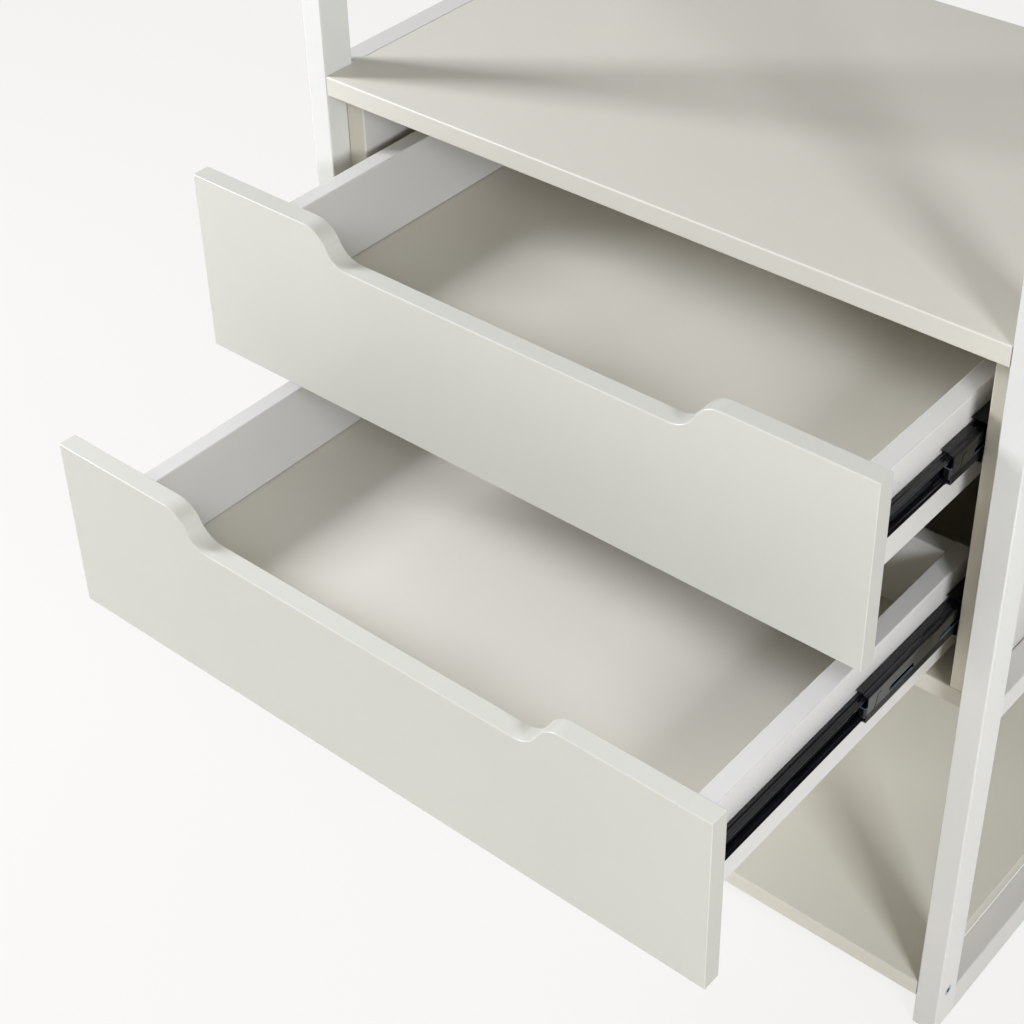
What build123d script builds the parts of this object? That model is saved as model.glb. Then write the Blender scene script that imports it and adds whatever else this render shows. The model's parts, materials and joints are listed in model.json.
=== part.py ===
from build123d import *

import os

# Open shelving unit with two drawers on three-part ball-bearing runners. Lengths are in millimetres.
#
# +Z is up, +X is to the right and the drawers open towards -Y. The model is laid out in cabinet coordinates:
# X = 0 is the middle, Y = 0 is the front plane of the posts and Z = 0 is the floor. Each part is moved by
# TO_ORIGIN when it is written, so that the origin lies on the floor below the middle of the whole object as
# it stands with its drawers pulled out.
#
# Levels named *_Z are the underside of their board or rail.

# ---------------------------------------------------------------- cabinet
WIDTH = 600.0
DEPTH = 380.0
HEIGHT = 1200.0
GLIDE = 2.0
POST_WIDTH = 19.0
POST_DEPTH = 28.0
FOOT_RAIL_HEIGHT = 30.0
RAIL_HEIGHT = 20.0
SHELF_THICKNESS = 15.5
PANEL_THICKNESS = 17.0
BACK_THICKNESS = 4.0
BACK_INSET = 8.0
JOINT_GAP = 0.4
BAY_SET_BACK = 18.2
EASE = 1.2
FRONT_EASE = 0.8

BOTTOM_SHELF_Z = GLIDE + FOOT_RAIL_HEIGHT
BAY_FLOOR_Z = 317.0
MAIN_SHELF_Z = 614.5
TOP_SHELF_Z = HEIGHT - SHELF_THICKNESS
BAY_FLOOR_TOP = BAY_FLOOR_Z + SHELF_THICKNESS
MAIN_SHELF_TOP = MAIN_SHELF_Z + SHELF_THICKNESS

CLEAR_HALF = WIDTH / 2 - POST_WIDTH
PANEL_INNER = CLEAR_HALF - JOINT_GAP - PANEL_THICKNESS
BACK_Y = DEPTH - BACK_INSET

# ---------------------------------------------------------------- drawers
FRONT_THICKNESS = 14.5
FRONT_HEIGHT = 142.5
FRONT_END_GAP = 2.5
FRONT_TOP = {"upper": 611.0, "lower": 464.0}
OPEN = {"upper": 136.5, "lower": 285.5}
DRAWER_BOARD = 14.5
SIDE_LENGTH = 325.0
SIDE_HEIGHT = 78.0
SIDE_BELOW_FRONT_TOP = 40.5
FLOOR_THICKNESS = 4.0
FLOOR_ABOVE_SIDE_BOTTOM = 10.5
GROOVE_DEPTH = 5.0
GROOVE_SLACK = 0.7
PULL_DEPTH = 24.5
PULL_CURVE_WIDTH = 38.0
PULL_FROM_END = 108.0

FRONT_HALF = CLEAR_HALF - FRONT_END_GAP

# ---------------------------------------------------------------- runners
# A runner's section is drawn in U and V: U = 0 is the drawer side's outer face, U = RUNNER_GAP is the bay
# panel's inner face, and V = 0 is the runner's mid-height. Only the upper half of a path is listed.
RUNNER_GAP = 12.7
RUNNER_BELOW_FRONT_TOP = 73.0
RUNNER_LENGTH = 300.0
SHEET = 1.0
OUTER_WEB_U = 12.1
MIDDLE_WEB_U = 10.3
INNER_WEB_U = 0.6
OUTER_PATH = [(1.0, 15.5), (10.9, 15.5), (OUTER_WEB_U, 14.3)]
MIDDLE_PATH = [(2.2, 12.0), (6.4, 12.0), (7.4, 10.6), (MIDDLE_WEB_U, 10.6)]
INNER_PATH = [(8.2, 8.2), (7.0, 8.2), (6.2, 7.5), (4.0, 7.5), (3.2, 8.2), (2.4, 8.2), (INNER_WEB_U, 5.6)]
BEND_RADIUS = 0.6
OUTER_START = 20.4
INNER_START = FRONT_THICKNESS + 1.0
MIDDLE_START = 52.0
MIDDLE_LENGTH = 265.0
# Distances from a member's front end: the slots in its web and the screws through it.
OUTER_SLOTS = (70.0, 150.0, 210.0)
OUTER_SCREWS = (37.0, 261.0)
MIDDLE_SLOTS = (26.0, 88.0, 150.0)
INNER_SLOTS = (14.0, 100.0, 272.0)
INNER_SCREWS = (50.0, 242.0)
# The stop tongue at a middle member's front end: its path in Y and U, and its span in V.
STOP_PATH = [(8.0, MIDDLE_WEB_U), (-1.6, MIDDLE_WEB_U), (-1.6, 5.4), (2.4, 5.4)]
STOP_BEND = 1.4
STOP_SPAN = (-6.0, 2.0)
# The S-shaped slit behind the tongue, in Y and V.
LANCE_PATH = [(15.0, 6.6), (11.6, 6.0), (10.4, 0.4), (8.6, -3.6)]
LANCE_BEND = 1.2
LANCE_WIDTH = 0.9
LEVER_AT = 150.0
LEVER_PATH = [(0, 2.6), (16, 2.6), (28, -2.2), (48, -2.2), (58, 0.4)]
LEVER_SHEET = 2.2
LEVER_HEIGHT = 3.0

# Ball cages: the share of the drawer's travel that each moves, its place when the drawer is shut, its balls
# and its strip. Balls run at ball_u and +-ball_v; the strip's web stands at web_u.
CAGES = {
    "outer": dict(
        share=0.25, start=100.0, length=130.0, balls=6, radius=1.85,
        ball_u=9.2, ball_v=13.05, web_u=11.2, lip_u=7.7, strip_v=13.05, sheet=0.4,
    ),
    "inner": dict(
        share=0.75, start=130.0, length=98.0, balls=5, radius=1.65,
        ball_u=5.1, ball_v=9.75, web_u=9.1, lip_u=3.6, strip_v=9.4, sheet=0.5,
    ),
}
MIDDLE_SHARE = 0.5
POCKET_CLEARANCE = 0.15
CAGE_BRIDGE = 16.0
CAGE_WINDOW = 9.0

# ---------------------------------------------------------------- fasteners
DOWEL_RADIUS = 4.0
DOWEL_LENGTH = 20.0
BAY_FLOOR_DOWELS_Y = (100.0, 280.0)
BAY_PANEL_DOWELS_Y = (70.0, 300.0)
SIDE_DOWELS_DOWN = (18.0, 56.0)
SHELF_SCREW_HEAD_RADIUS = 4.5
SHELF_SCREW_HEAD_DEPTH = 3.2
SHELF_SCREW_RADIUS = 2.2
SHELF_SCREW_LENGTH = 45.0
SHELF_SCREW_SOCKET = 2.3
SHELF_SCREW_SOCKET_DEPTH = 2.2
WOOD_SCREW_RADIUS = 1.6
WOOD_SCREW_LENGTH = 12.0
PAN_HEAD_RADIUS = 3.4
PAN_HEAD_DEPTH = 1.9
FLAT_HEAD_RADIUS = 3.2
FLAT_HEAD_DEPTH = 0.5
CROSS_SLOT = 0.8
SCREW_SEAT = SHEET + 0.1
BACK_SCREW_INSET = 40.0
GLIDE_RADIUS = 7.5

DRAWER_SIDE_OUTER = PANEL_INNER - RUNNER_GAP
ORIGIN_Y = (DEPTH - OPEN["lower"]) / 2
TO_ORIGIN = Pos(0, -ORIGIN_Y, 0)


# ================================================================ helpers
def block(x, y, z):
    """A box from three (low, high) pairs."""
    size = [high - low for low, high in (x, y, z)]
    middle = [(high + low) / 2 for low, high in (x, y, z)]
    return Pos(*middle) * Box(*size)


def ease(solid, axis, radius=EASE):
    """Round every edge of a board that runs along one axis."""
    return fillet(solid.edges().filter_by(axis), radius)


def rod(start, end, radius):
    """A round bar between two points."""
    axis = Vector(*end) - Vector(*start)
    return Plane(origin=start, z_dir=axis) * Pos(0, 0, axis.length / 2) * Cylinder(radius, axis.length)


def dowel(middle, axis):
    """A dowel that lies half in each of two parts."""
    half = Vector(*axis) * (DOWEL_LENGTH / 2)
    return rod(Vector(*middle) - half, Vector(*middle) + half, DOWEL_RADIUS)


def mirrored(solid):
    """The left-hand twin of a right-hand part."""
    return mirror(solid, about=Plane.YZ)


def both_sides(solids):
    """Right-hand solids together with their left-hand twins."""
    return list(solids) + [mirrored(solid) for solid in solids]


def cut(solid, tools):
    """A solid less every tool of a list."""
    for tool in tools:
        solid = solid - tool
    return solid


def slide_out(solid, distance):
    """Move a part of a drawer towards the user."""
    return Pos(0, -distance, 0) * solid


# ================================================================ fasteners
def shelf_screw(x, y, z):
    """A countersunk screw with a hex socket, driven through a right-hand post towards -X."""
    frame = Plane(origin=(x, y, z), z_dir=(-1, 0, 0))
    head = Pos(0, 0, SHELF_SCREW_HEAD_DEPTH / 2) * Cone(
        SHELF_SCREW_HEAD_RADIUS, SHELF_SCREW_RADIUS, SHELF_SCREW_HEAD_DEPTH
    )
    shank_length = SHELF_SCREW_LENGTH - SHELF_SCREW_HEAD_DEPTH
    shank = Pos(0, 0, SHELF_SCREW_HEAD_DEPTH + shank_length / 2) * Cylinder(SHELF_SCREW_RADIUS, shank_length)
    return frame * (head + shank)


def shelf_screw_socket(x, y, z):
    """The hex socket in a shelf screw's head."""
    frame = Plane(origin=(x, y, z), z_dir=(-1, 0, 0))
    return frame * extrude(RegularPolygon(SHELF_SCREW_SOCKET, 6), SHELF_SCREW_SOCKET_DEPTH)


def wood_screw(origin, direction, head_radius, head_depth):
    """A short screw: origin is the underside of its domed or flat head, direction is the way it is driven."""
    frame = Plane(origin=origin, z_dir=direction)
    shank = Pos(0, 0, WOOD_SCREW_LENGTH / 2) * Cylinder(WOOD_SCREW_RADIUS, WOOD_SCREW_LENGTH)
    head = Pos(0, 0, -head_depth / 2) * Cylinder(head_radius, head_depth)
    rim = head.edges().filter_by(GeomType.CIRCLE).group_by(Axis.Z)[0]
    head = fillet(rim, min(head_depth, head_radius) * 0.6)
    slots = Box(head_radius, CROSS_SLOT, head_depth) + Box(CROSS_SLOT, head_radius, head_depth)
    return frame * (shank + head - Pos(0, 0, -head_depth) * slots)


def wood_screw_hole(origin, direction):
    """The hole that a short screw's shank fills."""
    return rod(origin, Vector(*origin) + Vector(*direction) * WOOD_SCREW_LENGTH, WOOD_SCREW_RADIUS)


# ================================================================ side frames
OPENING_LEVELS = [
    (GLIDE + FOOT_RAIL_HEIGHT, BAY_FLOOR_Z),
    (BAY_FLOOR_Z + RAIL_HEIGHT, MAIN_SHELF_TOP - RAIL_HEIGHT),
    (MAIN_SHELF_TOP, HEIGHT - RAIL_HEIGHT),
]
RAIL_LEVELS = {
    "foot_rail": (GLIDE, GLIDE + FOOT_RAIL_HEIGHT),
    "middle_rail": (BAY_FLOOR_Z, BAY_FLOOR_Z + RAIL_HEIGHT),
    "shelf_rail": (MAIN_SHELF_TOP - RAIL_HEIGHT, MAIN_SHELF_TOP),
    "top_rail": (HEIGHT - RAIL_HEIGHT, HEIGHT),
}
POST_SPANS = {"front": (0, POST_DEPTH), "rear": (DEPTH - POST_DEPTH, DEPTH)}
OUTER_X = WIDTH / 2
RAIL_SPAN = (POST_DEPTH, DEPTH - POST_DEPTH)


def side_frame():
    """The right-hand frame as one eased slab with its three openings, before it is split into its members."""
    frame = block((CLEAR_HALF, OUTER_X), (0, DEPTH), (GLIDE, HEIGHT))
    frame = cut(frame, [block((CLEAR_HALF, OUTER_X), RAIL_SPAN, level) for level in OPENING_LEVELS])
    return fillet(frame.edges().filter_by(Axis.X, reverse=True), EASE)


def rail_dowels():
    """One dowel in each end of each right-hand rail."""
    x = (CLEAR_HALF + OUTER_X) / 2
    return [dowel((x, y, sum(level) / 2), (0, 1, 0)) for level in RAIL_LEVELS.values() for y in RAIL_SPAN]


def floor_dowels():
    """Dowels from a right-hand middle rail into the end of the drawer bay's floor."""
    z = BAY_FLOOR_Z + SHELF_THICKNESS / 2
    return [dowel((CLEAR_HALF, y, z), (1, 0, 0)) for y in BAY_FLOOR_DOWELS_Y]


def panel_dowels():
    """Dowels from a right-hand bay panel into the boards below and above it."""
    x = PANEL_INNER + PANEL_THICKNESS / 2
    return [dowel((x, y, z), (0, 0, 1)) for y in BAY_PANEL_DOWELS_Y for z in (BAY_FLOOR_TOP, MAIN_SHELF_Z)]


def shelf_screw_places():
    """Where the screws enter the right-hand posts: two for each shelf that they carry."""
    levels = [z + SHELF_THICKNESS / 2 for z in (BOTTOM_SHELF_Z, MAIN_SHELF_Z, TOP_SHELF_Z)]
    return [(OUTER_X, sum(span) / 2, z) for z in levels for span in POST_SPANS.values()]


def back_screw_places():
    """The heads of the back panel's screws on the right, at its rear face."""
    x = PANEL_INNER + PANEL_THICKNESS / 2
    low = BAY_FLOOR_TOP + BACK_SCREW_INSET
    high = MAIN_SHELF_Z - BACK_SCREW_INSET
    return [(x, BACK_Y, z) for z in (low, (low + high) / 2, high)]


def side_frame_parts():
    """The posts and rails of both side frames, by name."""
    tools = rail_dowels() + floor_dowels() + [shelf_screw(*place) for place in shelf_screw_places()]
    frame = cut(side_frame(), tools)
    members = {f"{end}_post": (span, (0, HEIGHT)) for end, span in POST_SPANS.items()}
    members |= {name: (RAIL_SPAN, level) for name, level in RAIL_LEVELS.items()}
    parts = {}
    for name, (span, level) in members.items():
        member = frame & block((CLEAR_HALF, OUTER_X), span, level)
        parts[f"right_{name}"] = member
        parts[f"left_{name}"] = mirrored(member)
    return parts


def floor_glides():
    """A nail-on glide with a domed edge under each post."""
    x = (CLEAR_HALF + OUTER_X) / 2
    glide = Pos(x, 0, GLIDE / 2) * Cylinder(GLIDE_RADIUS, GLIDE)
    glide = fillet(glide.edges().sort_by(Axis.Z)[0], 0.4 * GLIDE)
    return both_sides([Pos(0, sum(span) / 2, 0) * glide for span in POST_SPANS.values()])


# ================================================================ shelves and bay panels
def shelf(z, front=0.0, tools=()):
    """A board across the clear width, with eased long edges and holes for its fasteners."""
    half = CLEAR_HALF - JOINT_GAP
    board = block((-half, half), (front, DEPTH), (z, z + SHELF_THICKNESS))
    return cut(ease(board, Axis.X), both_sides(tools))


def shelves():
    """The four boards, by name."""
    screws = [shelf_screw(*place) for place in shelf_screw_places()]
    return {
        "bottom_shelf": shelf(BOTTOM_SHELF_Z, tools=screws),
        "drawer_bay_floor": shelf(BAY_FLOOR_Z, BAY_SET_BACK, floor_dowels() + panel_dowels()),
        "main_shelf": shelf(MAIN_SHELF_Z, tools=screws + panel_dowels()),
        "top_shelf": shelf(TOP_SHELF_Z, tools=screws),
    }


def runner_z(drawer):
    """The mid-height of a drawer's runners."""
    return FRONT_TOP[drawer] - RUNNER_BELOW_FRONT_TOP


def cabinet_screw_places():
    """Where the right-hand cabinet runners are screwed to their bay panel."""
    x = PANEL_INNER - SCREW_SEAT
    return [(x, OUTER_START + step, runner_z(drawer)) for drawer in FRONT_TOP for step in OUTER_SCREWS]


def bay_panel():
    """The right-hand wall of the drawer bay."""
    panel = block(
        (PANEL_INNER, PANEL_INNER + PANEL_THICKNESS),
        (BAY_SET_BACK, BACK_Y - BACK_THICKNESS),
        (BAY_FLOOR_TOP, MAIN_SHELF_Z),
    )
    front_edges = panel.edges().filter_by(Axis.Z).group_by(Axis.Y)[0]
    panel = fillet(front_edges, EASE)
    holes = [wood_screw_hole(place, (1, 0, 0)) for place in cabinet_screw_places()]
    holes += [wood_screw_hole(place, (0, -1, 0)) for place in back_screw_places()]
    return cut(panel, panel_dowels() + holes)


def back_panel():
    """The thin board that closes the drawer bay at the rear."""
    half = CLEAR_HALF - JOINT_GAP
    board = block((-half, half), (BACK_Y - BACK_THICKNESS, BACK_Y), (BAY_FLOOR_TOP, MAIN_SHELF_Z))
    return cut(board, both_sides([wood_screw_hole(place, (0, -1, 0)) for place in back_screw_places()]))


# ================================================================ drawers
def front_outline():
    """A drawer front's face in X and Z, with its top edge at Z = 0 and an S-curve down into each end of the
    finger pull. Each S is two equal arcs, level at its ends."""
    far = FRONT_HALF
    high = far - PULL_FROM_END
    low = high - PULL_CURVE_WIDTH
    middle = ((high + low) / 2, -PULL_DEPTH / 2)
    right = [
        Line((far, -FRONT_HEIGHT), (far, 0)),
        Line((far, 0), (high, 0)),
        TangentArc((high, 0), middle, tangent=(-1, 0)),
        TangentArc((low, -PULL_DEPTH), middle, tangent=(1, 0)),
    ]
    left = [mirror(line, about=Plane.YZ) for line in right]
    across = [Line((-far, -FRONT_HEIGHT), (far, -FRONT_HEIGHT)), Line((-low, -PULL_DEPTH), (low, -PULL_DEPTH))]
    return make_face(right + left + across)


def box_floor_span():
    """The lowest and highest level of the bottom panel, below the front's top edge."""
    low = -SIDE_BELOW_FRONT_TOP - SIDE_HEIGHT + FLOOR_ABOVE_SIDE_BOTTOM
    return low, low + FLOOR_THICKNESS


def side_dowels():
    """Dowels that join a right-hand drawer side to the front and to the back."""
    x = DRAWER_SIDE_OUTER - DRAWER_BOARD / 2
    levels = [-SIDE_BELOW_FRONT_TOP - down for down in SIDE_DOWELS_DOWN]
    rear = FRONT_THICKNESS + SIDE_LENGTH - DRAWER_BOARD / 2
    to_front = [dowel((x, FRONT_THICKNESS, z), (0, 1, 0)) for z in levels]
    to_back = [dowel((DRAWER_SIDE_OUTER - DRAWER_BOARD, rear, z), (1, 0, 0)) for z in levels]
    return to_front + to_back


def drawer_screw_places():
    """Where the right-hand drawer runner is screwed to the drawer side."""
    x = DRAWER_SIDE_OUTER + SCREW_SEAT
    return [(x, INNER_START + step, -RUNNER_BELOW_FRONT_TOP) for step in INNER_SCREWS]


def drawer_boards():
    """The five boards of a shut drawer, with the top edge of its front at Z = 0."""
    rear = FRONT_THICKNESS + SIDE_LENGTH
    inner = DRAWER_SIDE_OUTER - DRAWER_BOARD
    box_z = (-SIDE_BELOW_FRONT_TOP - SIDE_HEIGHT, -SIDE_BELOW_FRONT_TOP)
    floor_x = (-inner - GROOVE_DEPTH, inner + GROOVE_DEPTH)
    floor_y = (FRONT_THICKNESS - GROOVE_DEPTH, rear - DRAWER_BOARD + GROOVE_DEPTH)
    low, high = box_floor_span()
    floor = block(floor_x, floor_y, (low, high))
    groove = block(floor_x, floor_y, (low, high + GROOVE_SLACK))
    front = Pos(0, FRONT_THICKNESS, 0) * extrude(Plane.XZ * front_outline(), FRONT_THICKNESS)
    rims = front.edges().filter_by(Axis.Y, reverse=True)
    front = fillet(rims, FRONT_EASE)
    side = block((inner, DRAWER_SIDE_OUTER), (FRONT_THICKNESS, rear), box_z)
    side = ease(side, Axis.Y)
    back = block((-inner, inner), (rear - DRAWER_BOARD, rear), box_z)
    back = ease(back, Axis.X)
    pegs = both_sides(side_dowels())
    screws = [wood_screw_hole(place, (-1, 0, 0)) for place in drawer_screw_places()]
    side = cut(side, [groove] + side_dowels() + screws)
    return {
        "front": cut(front, [groove] + pegs),
        "right_side": side,
        "left_side": mirrored(side),
        "back": cut(back, [groove] + pegs),
        "bottom": floor,
    }


# ================================================================ runners
def section_wire(upper_half, radius):
    """The centre line of a bent sheet section, completed below V = 0."""
    lower_half = [(u, -v) for u, v in reversed(upper_half)]
    return FilletPolyline(*upper_half, *lower_half, radius=radius)


def sheet_channel(upper_half, sheet, start, length, radius=BEND_RADIUS):
    """A bent sheet member on the right-hand side, running along Y from start."""
    outline = offset(section_wire(upper_half, radius), amount=sheet / 2, side=Side.BOTH)
    # U runs along +X from the drawer side and V along +Z; Plane.XZ looks towards -Y.
    member = extrude(Plane.XZ * make_face(outline), -length)
    return Pos(DRAWER_SIDE_OUTER, start, 0) * member


def web_slot(u, start, length, height, v=0.0):
    """A round-ended slot tool through a member's web, lengthwise from start."""
    slot = extrude(SlotOverall(length, height), 2 * SHEET, both=True)
    slot = Plane(origin=(0, 0, 0), x_dir=(0, 1, 0), z_dir=(1, 0, 0)) * slot
    return Pos(DRAWER_SIDE_OUTER + u, start + length / 2, v) * slot


def outer_runner():
    """The cabinet's member, screwed to the bay panel."""
    member = sheet_channel(OUTER_PATH, SHEET, OUTER_START, RUNNER_LENGTH)
    places = [(x, y, 0) for x, y, _ in cabinet_screw_places()[:2]]
    holes = [wood_screw_hole(place, (1, 0, 0)) for place in places]
    slots = [web_slot(OUTER_WEB_U, OUTER_START + at, 16.0, 4.5) for at in OUTER_SLOTS]
    return cut(member, holes + slots)


def stop_tongue():
    """The tongue at a middle member's front end, bent in and back to stop the drawer."""
    strip = make_face(offset(FilletPolyline(*STOP_PATH, radius=STOP_BEND), amount=SHEET / 2, side=Side.BOTH))
    low, high = STOP_SPAN
    # Y runs along the plane's own X and U along its -Y, so that it is extruded towards +Z.
    tongue = Plane(origin=(0, 0, low), x_dir=(0, 1, 0), z_dir=(0, 0, 1)) * extrude(
        mirror(strip, about=Plane.XZ), high - low
    )
    return Pos(DRAWER_SIDE_OUTER, MIDDLE_START, 0) * tongue


def lance():
    """The slit behind a middle member's tongue."""
    slit = make_face(offset(FilletPolyline(*LANCE_PATH, radius=LANCE_BEND), amount=LANCE_WIDTH / 2, side=Side.BOTH))
    slit = Plane(origin=(0, 0, 0), x_dir=(0, 1, 0), z_dir=(1, 0, 0)) * extrude(slit, 2 * SHEET, both=True)
    return Pos(DRAWER_SIDE_OUTER + MIDDLE_WEB_U, MIDDLE_START, 0) * slit


def middle_runner():
    """The member between the other two, with slots in its web and a stop tongue at its front end."""
    member = sheet_channel(MIDDLE_PATH, SHEET, MIDDLE_START, MIDDLE_LENGTH)
    slots = [web_slot(MIDDLE_WEB_U, MIDDLE_START + at, 30.0, 5.0, -0.5) for at in MIDDLE_SLOTS]
    return cut(member, slots + [lance()]) + stop_tongue()


def inner_runner():
    """The drawer's member, screwed to the drawer side."""
    member = sheet_channel(INNER_PATH, SHEET, INNER_START, RUNNER_LENGTH)
    places = [(x, y, 0) for x, y, _ in drawer_screw_places()]
    holes = [wood_screw_hole(place, (-1, 0, 0)) for place in places]
    slots = [web_slot(INNER_WEB_U, INNER_START + at, 14.0, 4.5) for at in INNER_SLOTS]
    return cut(member, holes + slots)


def release_lever():
    """The sprung plastic lever in the drawer's member that frees the drawer, drawn as a bent strip."""
    path = FilletPolyline(*LEVER_PATH, radius=6.0)
    strip = make_face(offset(path, amount=LEVER_SHEET / 2, side=Side.BOTH))
    lever = Plane(origin=(0, 0, 0), x_dir=(0, 1, 0), z_dir=(1, 0, 0)) * extrude(strip, LEVER_HEIGHT)
    pad = Pos(LEVER_HEIGHT / 2, 2.0, 2.0) * Box(LEVER_HEIGHT, 9.0, 6.0)
    return Pos(DRAWER_SIDE_OUTER + SCREW_SEAT, INNER_START + LEVER_AT, 0) * (lever + pad)


def ball_places(cage):
    """The middle of each ball of a shut drawer's right-hand cage."""
    pitch = cage["length"] / cage["balls"]
    rows = [cage["start"] + pitch * (step + 0.5) for step in range(cage["balls"])]
    u = DRAWER_SIDE_OUTER + cage["ball_u"]
    return [(u, y, side * cage["ball_v"]) for y in rows for side in (1, -1)]


def ball_cage(cage):
    """A U-shaped strip with a pocket for each ball."""
    path = [(cage["lip_u"], cage["strip_v"]), (cage["web_u"], cage["strip_v"])]
    strip = sheet_channel(path, cage["sheet"], cage["start"], cage["length"], radius=cage["sheet"])
    pocket = Cylinder(cage["radius"] + POCKET_CLEARANCE, 3 * cage["radius"])
    # The web is open from the front nearly to the rear, so that it passes over the screw heads.
    window = web_slot(cage["web_u"], cage["start"] - CAGE_BRIDGE, cage["length"], CAGE_WINDOW)
    return cut(strip, [window] + [Pos(*place) * pocket for place in ball_places(cage)])


def balls(cage):
    """The balls of a right-hand cage."""
    return [Pos(*place) * Sphere(cage["radius"]) for place in ball_places(cage)]


def runner_parts(drawer):
    """The moving runner parts of one drawer, by name, pulled out with it."""
    lift = Pos(0, 0, runner_z(drawer))
    travel = OPEN[drawer]
    middle = slide_out(lift * middle_runner(), MIDDLE_SHARE * travel)
    parts = {f"{drawer}_right_middle_runner": middle, f"{drawer}_left_middle_runner": mirrored(middle)}
    for name, cage in CAGES.items():
        out = cage["share"] * travel
        parts[f"{drawer}_{name}_ball_cages"] = both_sides([slide_out(lift * ball_cage(cage), out)])
        parts[f"{drawer}_{name}_balls"] = both_sides([slide_out(lift * ball, out) for ball in balls(cage)])
    return parts


def drawer_parts(drawer):
    """Everything that moves with one drawer's box, by name, pulled out."""
    shift = Pos(0, -OPEN[drawer], FRONT_TOP[drawer])
    to_runner = Pos(0, -OPEN[drawer], runner_z(drawer))
    parts = {f"{drawer}_drawer_{name}": shift * board for name, board in drawer_boards().items()}
    parts[f"{drawer}_drawer_dowels"] = [shift * peg for peg in both_sides(side_dowels())]
    runner = to_runner * inner_runner()
    parts[f"{drawer}_right_drawer_runner"] = runner
    parts[f"{drawer}_left_drawer_runner"] = mirrored(runner)
    parts[f"{drawer}_release_levers"] = both_sides([to_runner * release_lever()])
    screws = [wood_screw(place, (-1, 0, 0), PAN_HEAD_RADIUS, PAN_HEAD_DEPTH) for place in drawer_screw_places()]
    parts[f"{drawer}_runner_screws"] = both_sides([shift * screw for screw in screws])
    return parts


def cabinet_parts():
    """Everything that stands still, by name."""
    panel = bay_panel()
    shelf_screws = [shelf_screw(*place) - shelf_screw_socket(*place) for place in shelf_screw_places()]
    runner_screws = [
        wood_screw(place, (1, 0, 0), FLAT_HEAD_RADIUS, FLAT_HEAD_DEPTH) for place in cabinet_screw_places()
    ]
    back_screws = [wood_screw(place, (0, -1, 0), PAN_HEAD_RADIUS, PAN_HEAD_DEPTH) for place in back_screw_places()]
    parts = side_frame_parts() | shelves()
    parts |= {
        "right_bay_panel": panel,
        "left_bay_panel": mirrored(panel),
        "back_panel": back_panel(),
        "floor_glides": floor_glides(),
        "cabinet_dowels": both_sides(rail_dowels() + floor_dowels() + panel_dowels()),
        "shelf_screws": both_sides(shelf_screws),
        "cabinet_runner_screws": both_sides(runner_screws),
        "back_panel_screws": both_sides(back_screws),
    }
    for drawer in FRONT_TOP:
        runner = Pos(0, 0, runner_z(drawer)) * outer_runner()
        parts[f"{drawer}_right_cabinet_runner"] = runner
        parts[f"{drawer}_left_cabinet_runner"] = mirrored(runner)
    return parts


# ================================================================ write the parts
def write(name, shape):
    """Write one node, moved to the object's own origin."""
    solids = shape if isinstance(shape, list) else [shape]
    moved = [TO_ORIGIN * solid for solid in solids]
    export_step(moved[0] if len(moved) == 1 else Compound(children=moved), f"parts/{name}.step")


os.makedirs("parts", exist_ok=True)
all_parts = cabinet_parts()
for drawer_name in FRONT_TOP:
    all_parts |= drawer_parts(drawer_name) | runner_parts(drawer_name)
for part_name, part_shape in all_parts.items():
    write(part_name, part_shape)
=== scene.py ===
import json
import math

import bpy
from mathutils import Euler, Matrix, Vector

# An open shelving unit with two drawers pulled out, in a plain white studio. Lengths are in metres.

# ---------------------------------------------------------------- the shot
CAMERA_AZIMUTH = 41.26
CAMERA_ELEVATION = 36.81
CAMERA_ROLL = -1.70
CAMERA_PLACE = (0.7051, -0.9767, 1.3124)
LENS = 71.66
SHIFT_Y = -0.0801

BACKGROUND = (0.930, 0.922, 0.905, 1.0)
# The lamps and the surroundings are cool and the paint is warm, so that deep shade turns brown.
LAMP_COLOUR = (0.812, 0.852, 1.0)
AMBIENT_COLOUR = (0.80, 0.835, 0.905, 1.0)
# The surroundings' light at the horizon and straight up.
AMBIENT_LOW = 0.47
AMBIENT_HIGH = 0.53
# In reflections the studio is white up to a low height and dark above it, by the sine of the elevation.
WALL_REFLECTED = 0.85
CEILING_REFLECTED = 0.06
WALL_TOP = 0.30
WALL_BLUR = 0.14
FLOOR_ALBEDO = (0.80, 0.75, 0.67, 1.0)
FLOOR_RADIUS = 12.0
FLOOR_SIDES = 96
# How much of the floor's look near the object is its own even glow. It is all glow past the fade.
FLOOR_GLOW = 0.88
FADE_DISTANCE = 3.0
FADE_BLUR = 2.0

# Each soft light: where it shines from (azimuth from +X, elevation, distance), its size and its power.
SOFT_LIGHTS = {
    "key_left": dict(azimuth=206.3, elevation=23.6, distance=2.08, size=(0.46, 0.58), watts=63.9),
    "key_right": dict(azimuth=329.4, elevation=18.8, distance=2.03, size=(0.40, 0.55), watts=36.4),
}
LIGHT_TARGET = (0.0, 0.0, 0.62)


# ================================================================ node helpers
def new_material(name):
    """An empty node material and its tree."""
    material = bpy.data.materials.new(name)
    material.use_nodes = True
    material.node_tree.nodes.clear()
    return material, material.node_tree


def add(tree, kind, settings=None, **inputs):
    """A node with its settings, and its inputs as plain values or as other nodes' outputs."""
    made = tree.nodes.new(kind)
    for name, value in (settings or {}).items():
        setattr(made, name, value)
    for name, value in inputs.items():
        socket = made.inputs[name.replace("_", " ")]
        if isinstance(value, bpy.types.NodeSocket):
            tree.links.new(value, socket)
        else:
            socket.default_value = value
    return made


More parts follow.
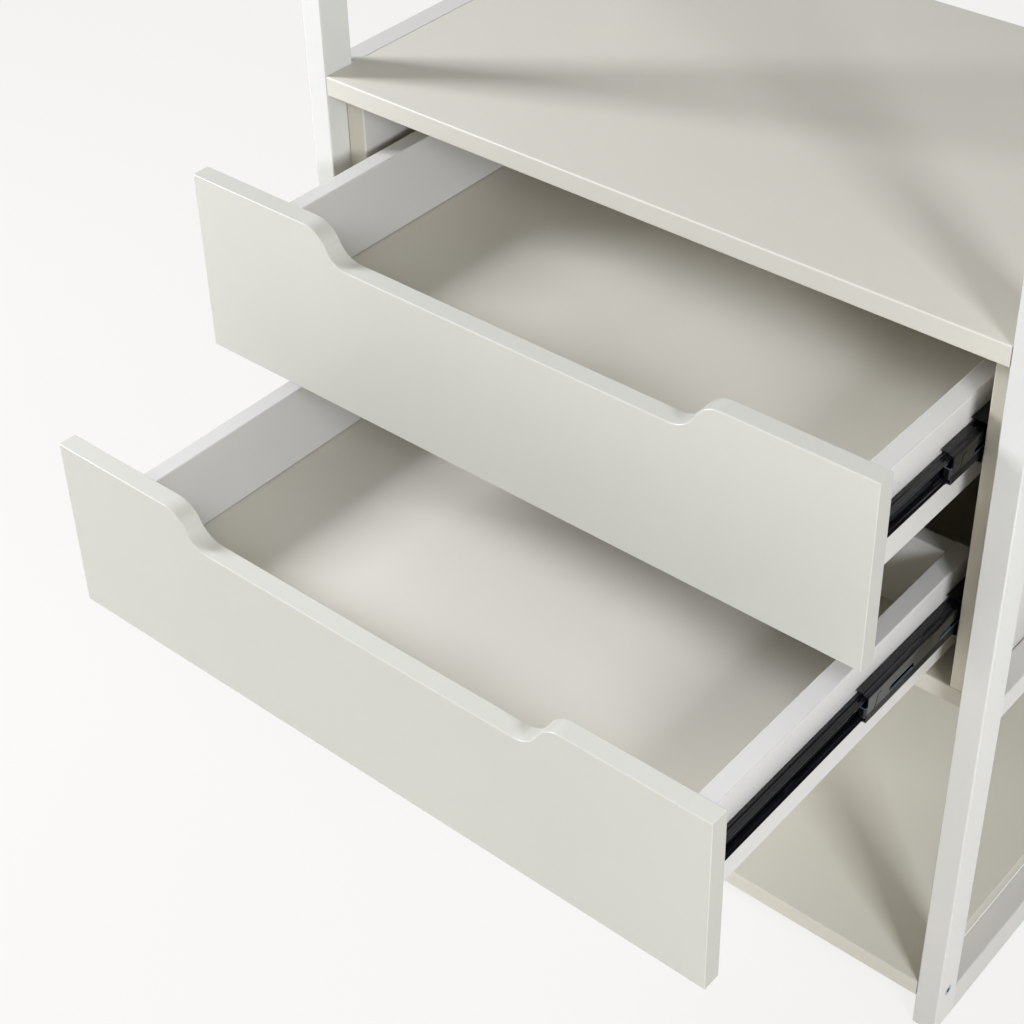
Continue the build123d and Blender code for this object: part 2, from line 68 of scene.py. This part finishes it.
def ramp(tree, factor, *stops):
    """A colour ramp from (position, colour) stops."""
    made = add(tree, "ShaderNodeValToRGB", Fac=factor)
    elements = made.color_ramp.elements
    while len(elements) < len(stops):
        elements.new(0.5)
    for element, (position, colour) in zip(elements, stops):
        element.position = position
        element.color = (*colour, 1.0)
    return made.outputs["Color"]


def spread(tree, value, low, high):
    """A 0 to 1 value mapped onto low to high."""
    made = add(tree, "ShaderNodeMapRange", Value=value, To_Min=low, To_Max=high)
    return made.outputs["Result"]


def noise(tree, place, scale, detail=2.0, roughness=0.5, stretch=(1.0, 1.0, 1.0)):
    """Noise of a given scale per metre, drawn out along an axis where stretch is below 1."""
    if stretch != (1.0, 1.0, 1.0):
        place = add(tree, "ShaderNodeMapping", Vector=place, Scale=stretch).outputs["Vector"]
    made = add(tree, "ShaderNodeTexNoise", Vector=place, Scale=scale, Detail=detail, Roughness=roughness)
    return made.outputs["Fac"]


def bump(tree, height, depth, normal=None):
    """A bump of a given depth in metres, on top of another where one is given."""
    made = add(tree, "ShaderNodeBump", Height=height, Distance=depth, Strength=1.0)
    if normal is not None:
        tree.links.new(normal, made.inputs["Normal"])
    return made.outputs["Normal"]


def finish_material(tree, **inputs):
    """The Principled shader and the output."""
    shader = add(tree, "ShaderNodeBsdfPrincipled", **inputs)
    output = add(tree, "ShaderNodeOutputMaterial")
    tree.links.new(shader.outputs["BSDF"], output.inputs["Surface"])


def step_up(tree, value, edge, width):
    """0 below an edge and 1 above it."""
    settings = {"interpolation_type": "SMOOTHSTEP"}
    limits = {"From_Min": edge - width, "From_Max": edge + width}
    return add(tree, "ShaderNodeMapRange", settings, Value=value, **limits).outputs["Result"]


def product(tree, first, second):
    """Two values multiplied."""
    made = add(tree, "ShaderNodeMath", {"operation": "MULTIPLY"})
    tree.links.new(first, made.inputs[0])
    tree.links.new(second, made.inputs[1])
    return made.outputs["Value"]


def blend(tree, share, first, second):
    """One colour turning into another as share goes from 0 to 1."""
    made = add(tree, "ShaderNodeMix", {"data_type": "RGBA"})
    factor, first_colour, second_colour = (made.inputs[place] for place in (0, 6, 7))
    tree.links.new(share, factor)
    tree.links.new(first, first_colour)
    tree.links.new(second, second_colour)
    return made.outputs[2]


def facing(tree, axis):
    """How far a surface faces along an axis, from -1 to 1."""
    normal = add(tree, "ShaderNodeNewGeometry").outputs["Normal"]
    return add(tree, "ShaderNodeSeparateXYZ", Vector=normal).outputs[axis]


def sideways(tree):
    """How far a surface faces left or right, from 0 to 1."""
    return add(tree, "ShaderNodeMath", {"operation": "ABSOLUTE"}, Value=facing(tree, "X")).outputs["Value"]


def inverse(tree, value):
    """One less a value."""
    return spread(tree, value, 1.0, 0.0)


def scaled(colour, factor):
    """A colour, lighter or darker."""
    return tuple(min(1.0, channel * factor) for channel in colour)


# ================================================================ materials
# A band without gloss on a runner web, painted shade for the dark lower half of each web, by how far below
# mid-height it starts and ends.
BAND_TOP = 0.0033
BAND_FOOT = 0.0098
# How far above and below mid-height the up-facing cut edges of a runner's slots are painted as bluish zinc,
# a painted highlight.
CUT_EDGE_GLINT_REACH = 0.0045
# A face counts as looking along an axis where its normal's share of that axis passes this value.
LOOKS_ALONG = 0.9
LOOKS_BLUR = 0.05

# One paint throughout. Each group of boards has its own value, set so that it looks as it does in the photo.
# The differences between these groups are painted light and shade, not different paints.
FRAME_GREY = (0.634, 0.618, 0.538)
FRONT_GREY = (0.556, 0.538, 0.442)
SHELF_GREY = (0.580, 0.544, 0.436)
SIDE_GREY = (0.580, 0.555, 0.484)
FLOOR_GREY = (0.622, 0.583, 0.472)
FOOT_GREY = (0.604, 0.570, 0.455)
RAIL_GREY = (0.590, 0.558, 0.488)
BAY_GREY = (0.630, 0.585, 0.460)
# The undersides of the drawer floors and the bay side of the back panel are painted this dark brown, as
# painted shade.
PAINTED_SHADE_BROWN = (0.170, 0.150, 0.110)

# The mid-height of each drawer's runners.
RUNNER_LEVELS = {"upper": 0.538, "lower": 0.391}


def clouded(tree, clouds, colour):
    """A colour that varies faintly with a cloud pattern."""
    return ramp(tree, clouds, (0.3, scaled(colour, 0.985)), (0.7, scaled(colour, 1.015)))


def lacquer(name, colour, gloss=0.31, peel=1.0, sides=None, underside=None, rear=None):
    """Satin lacquer on fibreboard: faint clouding, orange peel and a slightly uneven sheen.

    The faces that look left or right, the underside and the rear face can have colours of their own. The
    drawer fronts' darker ends and the drawer floors' brown undersides are painted shade.
    """
    material, tree = new_material(name)
    place = add(tree, "ShaderNodeTexCoord").outputs["Object"]
    clouds = noise(tree, place, 5.0, detail=3.0)
    colour = clouded(tree, clouds, colour)
    if sides is not None:
        to_side = step_up(tree, sideways(tree), LOOKS_ALONG, LOOKS_BLUR)
        colour = blend(tree, to_side, colour, clouded(tree, clouds, sides))
    if underside is not None:
        not_down = step_up(tree, facing(tree, "Z"), -LOOKS_ALONG, LOOKS_BLUR)
        colour = blend(tree, not_down, clouded(tree, clouds, underside), colour)
    if rear is not None:
        to_rear = step_up(tree, facing(tree, "Y"), LOOKS_ALONG, LOOKS_BLUR)
        colour = blend(tree, to_rear, colour, clouded(tree, clouds, rear))
    sheen = spread(tree, noise(tree, place, 38.0, detail=4.0), gloss - 0.04, gloss + 0.04)
    peel_normal = bump(tree, noise(tree, place, 420.0, detail=2.0), 0.000015 * peel)
    normal = bump(tree, noise(tree, place, 2600.0, detail=1.0), 0.000002, peel_normal)
    finish_material(tree, Base_Color=colour, Roughness=sheen, Normal=normal)
    return material


def black_steel(name, level):
    """Black electro-coated steel for runners at one level.

    It has a glossy skin. Its gloss is taken away in a band along the lower half of each web, as painted
    shade, and the slots' up-facing lower edges are painted as bluish zinc, a painted highlight.
    """
    material, tree = new_material(name)
    place = add(tree, "ShaderNodeTexCoord").outputs["Object"]
    height = add(tree, "ShaderNodeSeparateXYZ", Vector=place).outputs["Z"]
    to_side = sideways(tree)
    # A band below mid-height on the webs loses its gloss, as painted shade on the web's lower half.
    above_band = step_up(tree, height, level - BAND_TOP, 0.0004)
    below_band = step_up(tree, height, level - BAND_FOOT, 0.0004)
    in_band = product(tree, inverse(tree, above_band), below_band)
    in_band = product(tree, in_band, step_up(tree, to_side, 0.8, 0.05))
    # The slots' up-facing lower edges are painted as bluish metallic zinc, a painted highlight for the glint
    # they catch.
    above_foot = step_up(tree, height, level - CUT_EDGE_GLINT_REACH, 0.0003)
    above_head = step_up(tree, height, level + CUT_EDGE_GLINT_REACH, 0.0003)
    near_middle = product(tree, above_foot, inverse(tree, above_head))
    cut_edge_glint = product(tree, near_middle, step_up(tree, facing(tree, "Z"), 0.85, 0.05))
    smears = noise(tree, place, 60.0, detail=3.0, stretch=(1.0, 0.3, 1.0))
    coat = ramp(tree, smears, (0.35, (0.004, 0.004, 0.0045)), (0.75, (0.008, 0.008, 0.009)))
    zinc = ramp(tree, smears, (0.35, (0.32, 0.46, 0.52)), (0.75, (0.40, 0.54, 0.60)))
    finish_material(
        tree,
        Base_Color=blend(tree, cut_edge_glint, coat, zinc),
        Metallic=spread(tree, cut_edge_glint, 0.0, 0.7),
        Specular_IOR_Level=spread(tree, in_band, 0.5, 0.06),
        Roughness=spread(tree, smears, 0.14, 0.30),
        Normal=bump(tree, noise(tree, place, 900.0, detail=4.0, stretch=(1.0, 0.03, 1.0)), 0.000006),
    )
    return material


def plated_steel(name, colour, tint, gloss, metallic=1.0):
    """Plated steel with a slightly mottled, iridescent passivation."""
    material, tree = new_material(name)
    place = add(tree, "ShaderNodeTexCoord").outputs["Object"]
    blotches = noise(tree, place, 700.0, detail=3.0)
    colour = ramp(tree, blotches, (0.35, colour), (0.65, tint))
    sheen = spread(tree, noise(tree, place, 1500.0, detail=2.0), gloss - 0.05, gloss + 0.08)
    normal = bump(tree, noise(tree, place, 2400.0, detail=2.0), 0.000006)
    finish_material(tree, Base_Color=colour, Roughness=sheen, Normal=normal, Metallic=metallic)
    return material


def moulded_plastic(name, colour):
    """Moulded plastic with a fine spark-eroded grain."""
    material, tree = new_material(name)
    place = add(tree, "ShaderNodeTexCoord").outputs["Object"]
    colour = ramp(tree, noise(tree, place, 90.0), (0.3, scaled(colour, 0.9)), (0.7, scaled(colour, 1.1)))
    sheen = spread(tree, noise(tree, place, 1200.0), 0.30, 0.44)
    normal = bump(tree, noise(tree, place, 3000.0, detail=3.0), 0.00001)
    finish_material(tree, Base_Color=colour, Roughness=sheen, Normal=normal)
    return material


def beech(name):
    """Raw beech with short flecks along the dowels."""
    material, tree = new_material(name)
    place = add(tree, "ShaderNodeTexCoord").outputs["Object"]
    grain = noise(tree, place, 500.0, detail=5.0, stretch=(1.0, 0.12, 1.0))
    colour = ramp(tree, grain, (0.3, (0.42, 0.26, 0.14)), (0.7, (0.62, 0.43, 0.26)))
    sheen = spread(tree, grain, 0.55, 0.75)
    finish_material(tree, Base_Color=colour, Roughness=sheen, Normal=bump(tree, grain, 0.00005))
    return material


def floor_material():
    """A pale sweep that looks even, takes only a trace of shadow and fades into the surroundings."""
    material, tree = new_material("studio_floor")
    matte = add(tree, "ShaderNodeBsdfDiffuse", Color=FLOOR_ALBEDO)
    even = add(tree, "ShaderNodeEmission", Color=BACKGROUND, Strength=1.0)
    path = add(tree, "ShaderNodeLightPath").outputs
    seen = add(tree, "ShaderNodeMath", {"operation": "MAXIMUM"})
    tree.links.new(path["Is Camera Ray"], seen.inputs[0])
    tree.links.new(path["Is Glossy Ray"], seen.inputs[1])
    place = add(tree, "ShaderNodeTexCoord").outputs["Object"]
    distance = add(tree, "ShaderNodeVectorMath", {"operation": "LENGTH"})
    tree.links.new(place, distance.inputs[0])
    far = step_up(tree, distance.outputs["Value"], FADE_DISTANCE, FADE_BLUR)
    glow = spread(tree, far, FLOOR_GLOW, 1.0)
    share = spread(tree, seen.outputs["Value"], 0.0, glow)
    mixed = add(tree, "ShaderNodeMixShader", Fac=share)
    tree.links.new(matte.outputs["BSDF"], mixed.inputs[1])
    tree.links.new(even.outputs["Emission"], mixed.inputs[2])
    output = add(tree, "ShaderNodeOutputMaterial")
    tree.links.new(mixed.outputs["Shader"], output.inputs["Surface"])
    return material


# ================================================================ studio
def studio_world():
    """Surroundings that are even white to the camera, dimmer as light, and wall and ceiling to gloss."""
    world = bpy.data.worlds.new("studio")
    world.use_nodes = True
    tree = world.node_tree
    tree.nodes.clear()
    path = add(tree, "ShaderNodeLightPath").outputs
    direction = add(tree, "ShaderNodeTexCoord").outputs["Generated"]
    rise = add(tree, "ShaderNodeSeparateXYZ", Vector=direction).outputs["Z"]
    reflected = spread(tree, step_up(tree, rise, WALL_TOP, WALL_BLUR), WALL_REFLECTED, CEILING_REFLECTED)
    lit = spread(tree, rise, AMBIENT_LOW, AMBIENT_HIGH)
    strength = spread(tree, path["Is Glossy Ray"], lit, reflected)
    light = add(tree, "ShaderNodeBackground", Color=AMBIENT_COLOUR, Strength=strength)
    look = add(tree, "ShaderNodeBackground", Color=BACKGROUND, Strength=1.0)
    mixed = add(tree, "ShaderNodeMixShader", Fac=path["Is Camera Ray"])
    tree.links.new(light.outputs["Background"], mixed.inputs[1])
    tree.links.new(look.outputs["Background"], mixed.inputs[2])
    output = add(tree, "ShaderNodeOutputWorld")
    tree.links.new(mixed.outputs["Shader"], output.inputs["Surface"])
    bpy.context.scene.world = world


def studio_floor():
    """A large round floor at the foot of the object."""
    turns = [2 * math.pi * side / FLOOR_SIDES for side in range(FLOOR_SIDES)]
    rim = [(FLOOR_RADIUS * math.cos(turn), FLOOR_RADIUS * math.sin(turn), 0.0) for turn in turns]
    mesh = bpy.data.meshes.new("studio_floor")
    mesh.from_pydata(rim, [], [tuple(range(FLOOR_SIDES))])
    floor = bpy.data.objects.new("studio_floor", mesh)
    bpy.context.scene.collection.objects.link(floor)
    floor.data.materials.append(floor_material())


def soft_light(name, azimuth, elevation, distance, size, watts):
    """A softbox that points at the drawers."""
    data = bpy.data.lights.new(name, "AREA")
    data.shape = "RECTANGLE"
    data.size, data.size_y = size
    data.energy = watts
    data.color = LAMP_COLOUR
    lamp = bpy.data.objects.new(name, data)
    turn, tilt = math.radians(azimuth), math.radians(elevation)
    out = Vector((math.cos(turn) * math.cos(tilt), math.sin(turn) * math.cos(tilt), math.sin(tilt)))
    lamp.location = Vector(LIGHT_TARGET) + out * distance
    lamp.rotation_euler = (-out).to_track_quat("-Z", "Y").to_euler()
    lamp.visible_camera = False
    bpy.context.scene.collection.objects.link(lamp)


def photo_camera():
    """The camera, at the photo's viewing angle and framing."""
    data = bpy.data.cameras.new("camera")
    data.sensor_width = 36.0
    data.lens = LENS
    data.shift_y = SHIFT_Y
    data.clip_start = 0.05
    camera = bpy.data.objects.new("camera", data)
    tilt = math.radians(90.0 - CAMERA_ELEVATION)
    turn = Euler((tilt, 0.0, math.radians(CAMERA_AZIMUTH)), "XYZ").to_matrix()
    roll = Matrix.Rotation(math.radians(CAMERA_ROLL), 3, "Z")
    camera.matrix_world = Matrix.Translation(CAMERA_PLACE) @ (turn @ roll).to_4x4()
    bpy.context.scene.collection.objects.link(camera)
    bpy.context.scene.camera = camera


# ================================================================ the object
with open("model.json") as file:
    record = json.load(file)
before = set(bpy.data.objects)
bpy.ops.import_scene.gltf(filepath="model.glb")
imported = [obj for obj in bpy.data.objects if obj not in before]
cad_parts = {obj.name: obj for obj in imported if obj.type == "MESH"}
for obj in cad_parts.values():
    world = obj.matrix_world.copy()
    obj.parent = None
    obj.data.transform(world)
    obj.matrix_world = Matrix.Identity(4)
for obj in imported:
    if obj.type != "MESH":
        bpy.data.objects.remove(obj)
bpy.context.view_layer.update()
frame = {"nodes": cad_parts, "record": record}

FINISHES = {
    "black_screw": plated_steel("black_zinc", (0.10, 0.10, 0.11), (0.16, 0.16, 0.17), 0.18),
    "zinc_screw": plated_steel("blue_zinc", (0.30, 0.38, 0.43), (0.38, 0.44, 0.46), 0.30, metallic=0.85),
    "zinc_cage": plated_steel("cage_steel", (0.20, 0.20, 0.21), (0.28, 0.27, 0.25), 0.34),
    "bearing_steel": plated_steel("bearing_steel", (0.78, 0.78, 0.80), (0.72, 0.72, 0.74), 0.10),
    "black_plastic": moulded_plastic("black_acetal", (0.022, 0.022, 0.024)),
    "glide_plastic": moulded_plastic("glide_polyethylene", (0.48, 0.47, 0.43)),
    "beech_dowel": beech("dowel_beech"),
}

LACQUERS = {
    "frame": lacquer("frame_lacquer", FRAME_GREY),
    # The ends of the drawer fronts are painted 23 % darker than their faces, as painted shade.
    "front": lacquer("front_lacquer", FRONT_GREY, sides=scaled(FRONT_GREY, 0.77)),
    "shelf": lacquer("shelf_lacquer", SHELF_GREY, gloss=0.46),
    "side": lacquer("side_lacquer", SIDE_GREY, gloss=0.40),
    # The drawer floors' undersides are painted shade brown.
    "floor": lacquer("floor_lacquer", FLOOR_GREY, gloss=0.42, peel=0.7, underside=PAINTED_SHADE_BROWN),
    "foot": lacquer("foot_lacquer", FOOT_GREY, gloss=0.46),
    "rail": lacquer("rail_lacquer", RAIL_GREY),
    "bay": lacquer("bay_lacquer", BAY_GREY, sides=RAIL_GREY),
    # The back panel is painted shade brown on every face but its rear face, which has the grey paint.
    "backing": lacquer("backing_painted_shade_lacquer", PAINTED_SHADE_BROWN, gloss=0.5, rear=RAIL_GREY),
}
# The first ending that fits a lacquered node's name gives its batch.
LACQUER_BY_ENDING = {
    "post": "frame",
    "rail": "rail",
    "front": "front",
    "side": "side",
    "drawer_back": "side",
    "drawer_bottom": "floor",
    "bottom_shelf": "foot",
    "bay_panel": "bay",
    "back_panel": "backing",
    "": "shelf",
}

RUNNER_STEEL = {
    drawer: black_steel(f"{drawer}_runner_black", level) for drawer, level in RUNNER_LEVELS.items()
}


def finish_of(part):
    """The material of a part of the record."""
    if part["material_slot"] == "black_runner":
        return RUNNER_STEEL[part["node"].split("_")[0]]
    if not part["material_slot"].startswith("lacquered"):
        return FINISHES[part["material_slot"]]
    batch = next(batch for ending, batch in LACQUER_BY_ENDING.items() if part["node"].endswith(ending))
    return LACQUERS[batch]


for part in frame["record"]["subparts"]:
    mesh = frame["nodes"][part["node"]].data
    mesh.materials.clear()
    mesh.materials.append(finish_of(part))

studio_world()
studio_floor()
for light_name, light in SOFT_LIGHTS.items():
    soft_light(light_name, **light)
photo_camera()
bpy.context.scene.view_settings.view_transform = "Standard"
